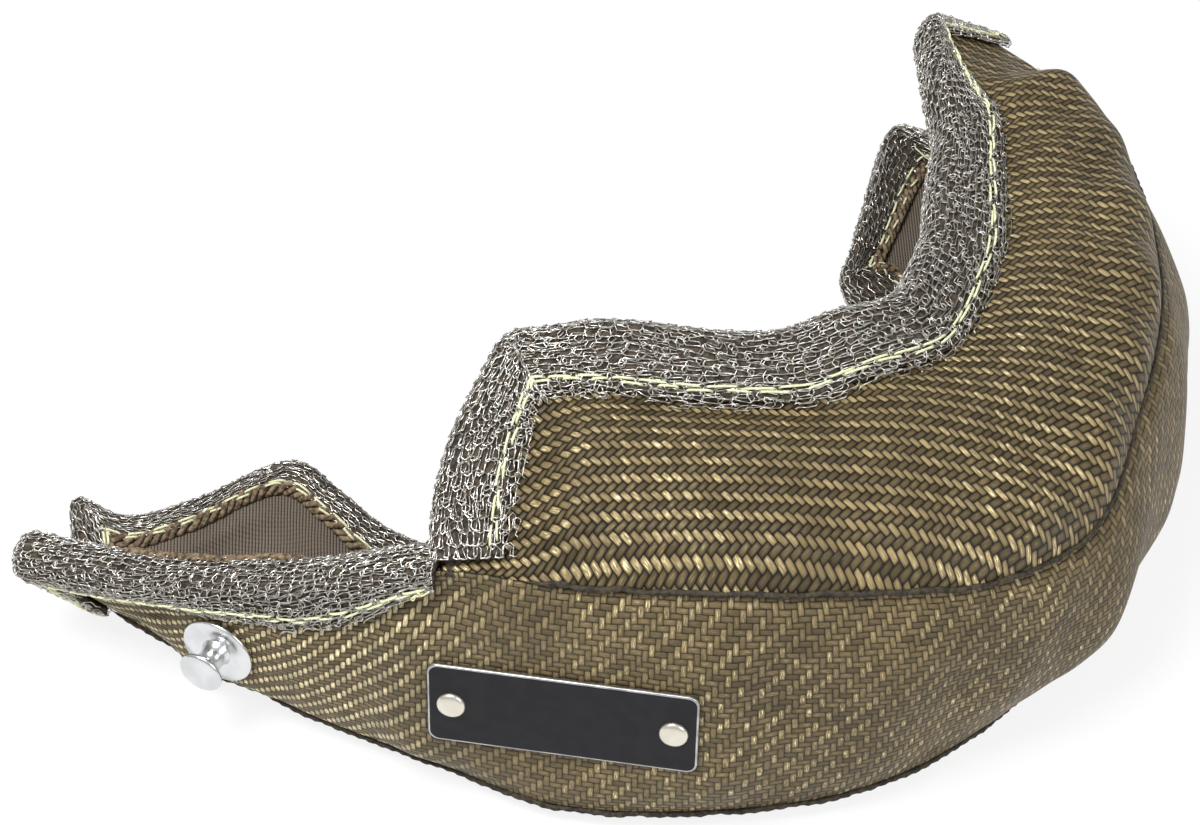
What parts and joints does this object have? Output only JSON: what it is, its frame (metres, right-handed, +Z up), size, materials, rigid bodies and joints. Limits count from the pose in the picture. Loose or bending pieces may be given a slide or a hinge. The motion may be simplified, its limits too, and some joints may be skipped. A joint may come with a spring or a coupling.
{
  "type": "turbo heat blanket",
  "caption": "C-shaped quilted heat blanket for a turbine housing: woven brown cover, fibre core, ribbed lining, knitted wire mesh edging, lacing studs and a blank name plate.",
  "frame": {"origin": "bottom centre of the blanket's box, on the surface it lies on", "axes": "+X from the pointed tail toward the closed side of the C, +Y from the name plate side toward the mouth, +Z up from the back panel it lies on to the front panel"},
  "size_m": [0.2598, 0.1952, 0.087],
  "materials": {
    "woven_cover": "golden brown twill of lava fibre with a light sheen",
    "fibre_core": "off-white needled silica fibre, hidden",
    "ribbed_lining": "matt taupe ribbed cloth",
    "wire_mesh_binding": "knitted stainless wire sleeve over brown cloth",
    "sewing_thread": "pale yellow-green aramid thread",
    "black_plate": "black, thin, blank",
    "pale_rivet": "pale gold",
    "stud_steel": "bright plated steel"
  },
  "bodies": {
    "root": {"front_panel_cover": "woven_cover", "rim_cover": "woven_cover", "back_panel_cover": "woven_cover", "front_panel_core": "fibre_core", "rim_core": "fibre_core", "back_panel_core": "fibre_core", "front_panel_lining": "ribbed_lining", "rim_lining": "ribbed_lining", "back_panel_lining": "ribbed_lining", "tail_edge_binding": "wire_mesh_binding", "back_edge_binding": "wire_mesh_binding", "mouth_edge_binding": "wire_mesh_binding", "front_edge_binding": "wire_mesh_binding", "tail_edge_thread": "sewing_thread", "back_edge_thread": "sewing_thread", "mouth_edge_thread": "sewing_thread", "front_edge_thread": "sewing_thread", "name_plate": "black_plate", "plate_rivet_1": "pale_rivet", "plate_rivet_burr_1": "pale_rivet", "plate_rivet_2": "pale_rivet", "plate_rivet_burr_2": "pale_rivet", "lacing_stud_1": "stud_steel", "lacing_stud_1_base": "stud_steel", "lacing_stud_1_backing": "stud_steel", "lacing_stud_2": "stud_steel", "lacing_stud_2_base": "stud_steel", "lacing_stud_2_backing": "stud_steel"}
  },
  "joints": []
}
